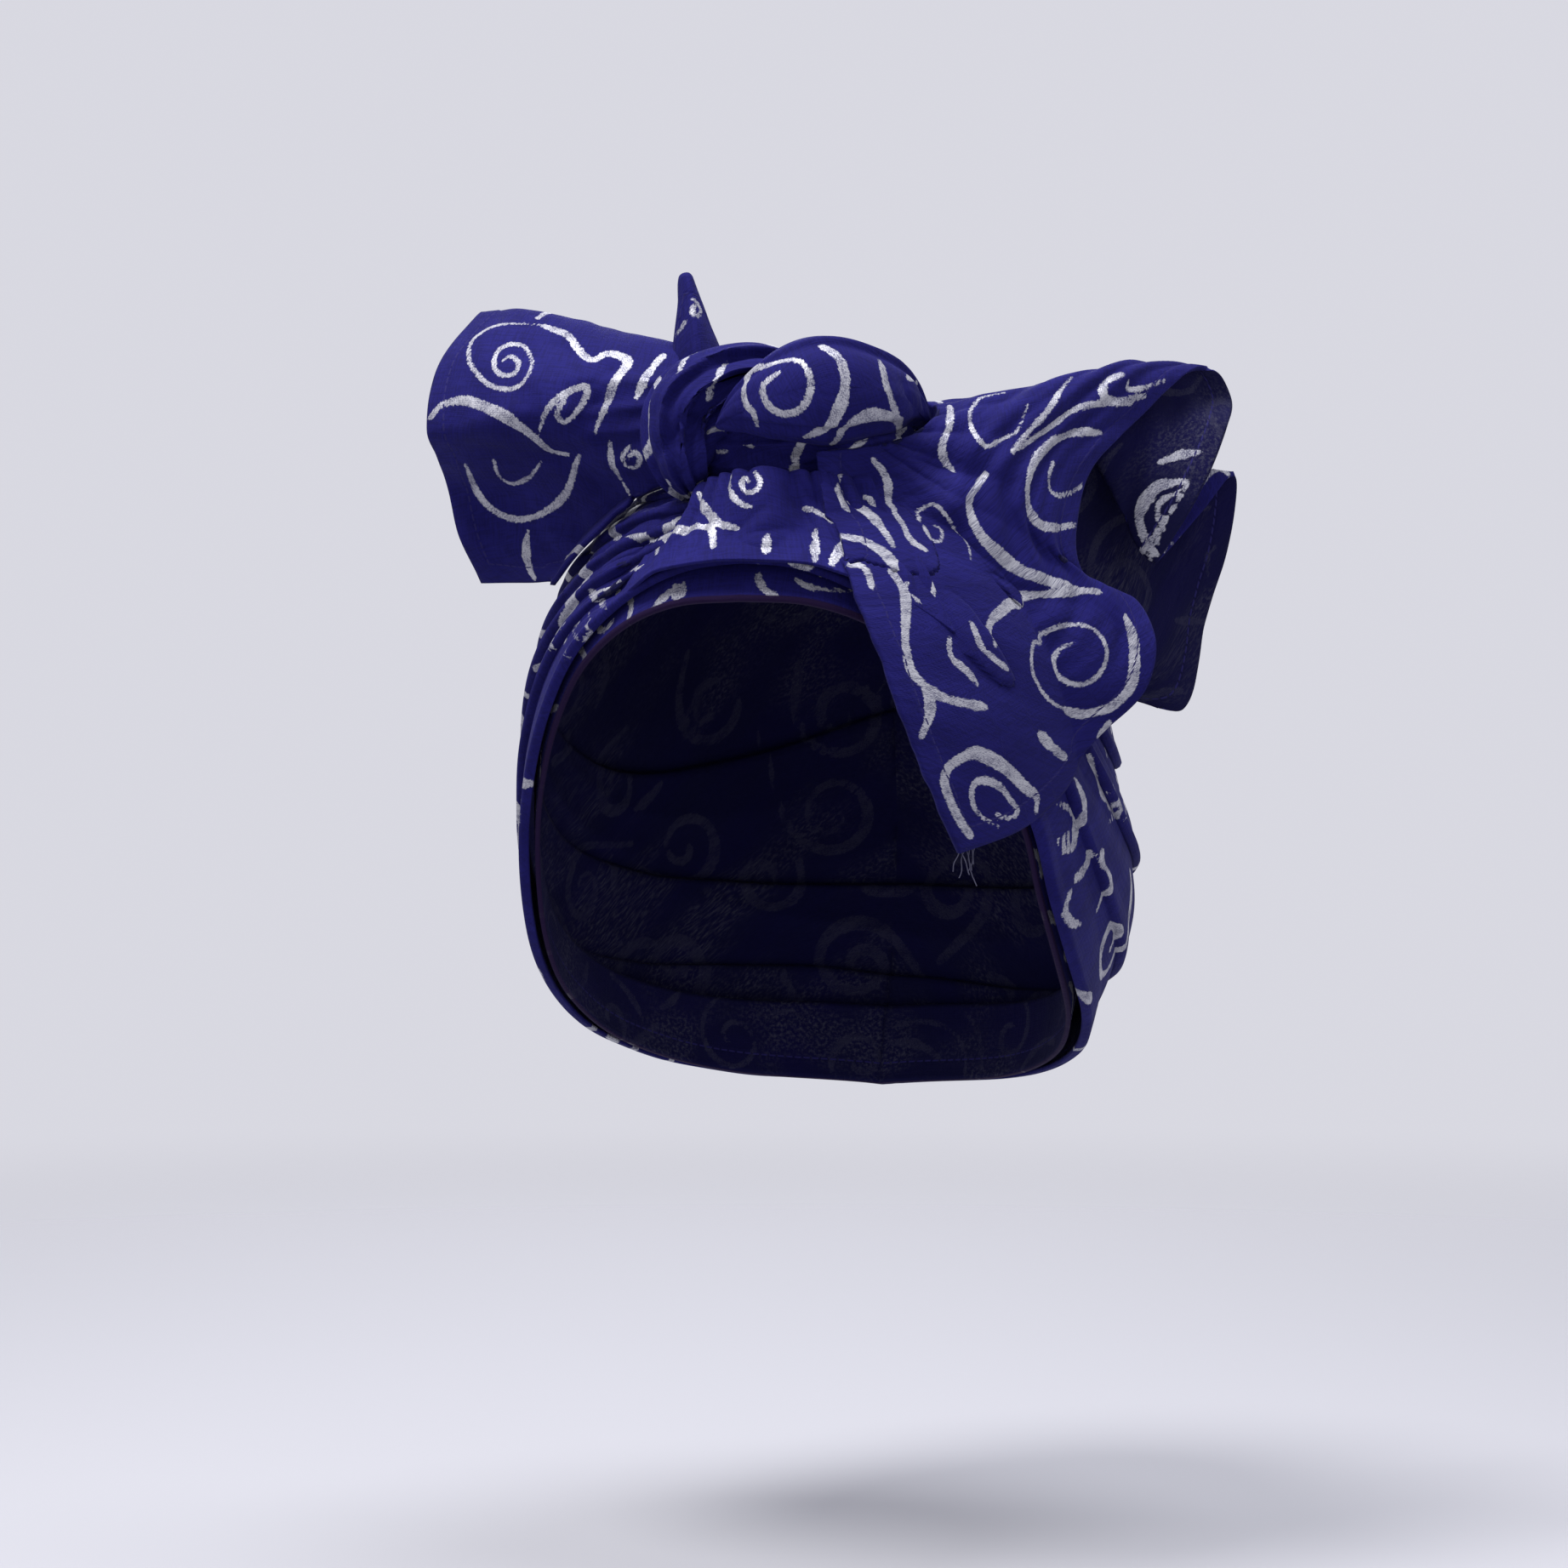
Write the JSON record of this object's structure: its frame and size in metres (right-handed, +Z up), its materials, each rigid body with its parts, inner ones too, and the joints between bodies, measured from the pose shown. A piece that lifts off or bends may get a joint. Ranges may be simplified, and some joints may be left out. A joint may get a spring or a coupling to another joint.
{
  "type": "top knot head wrap",
  "caption": "Cotton head wrap with a smooth brow band, pleated turns round the head, and a top knot with a short peak and two flaring bow ends.",
  "frame": {"origin": "the crown of the head, on its skin, where the wrap sits on it", "axes": "+Z up; the wearer faces -Y; +X is the wearer's left"},
  "size_m": [0.2058, 0.1887, 0.2205],
  "materials": {
    "brow_band": "woven cotton, navy blue with a dark purple edge and a silver scroll print",
    "head_wrap": "woven cotton, royal navy blue with a silver scroll print",
    "front_gather": "woven cotton, royal navy blue with a silver scroll print",
    "knot_heart": "woven cotton, royal navy blue with a silver scroll print",
    "knot_left_turn": "woven cotton, royal navy blue with a silver scroll print",
    "knot_right_turn": "woven cotton, royal navy blue with a silver scroll print",
    "left_bow_end": "woven cotton, royal navy blue with a silver scroll print",
    "right_bow_end": "woven cotton, royal navy blue with a silver scroll print",
    "peak": "woven cotton, royal navy blue with a silver scroll print"
  },
  "bodies": {
    "root": {"brow_band": "brow_band", "head_wrap": "head_wrap", "front_gather": "front_gather", "knot_heart": "knot_heart", "knot_left_turn": "knot_left_turn", "knot_right_turn": "knot_right_turn", "left_bow_end": "left_bow_end", "right_bow_end": "right_bow_end", "peak": "peak"}
  },
  "joints": []
}
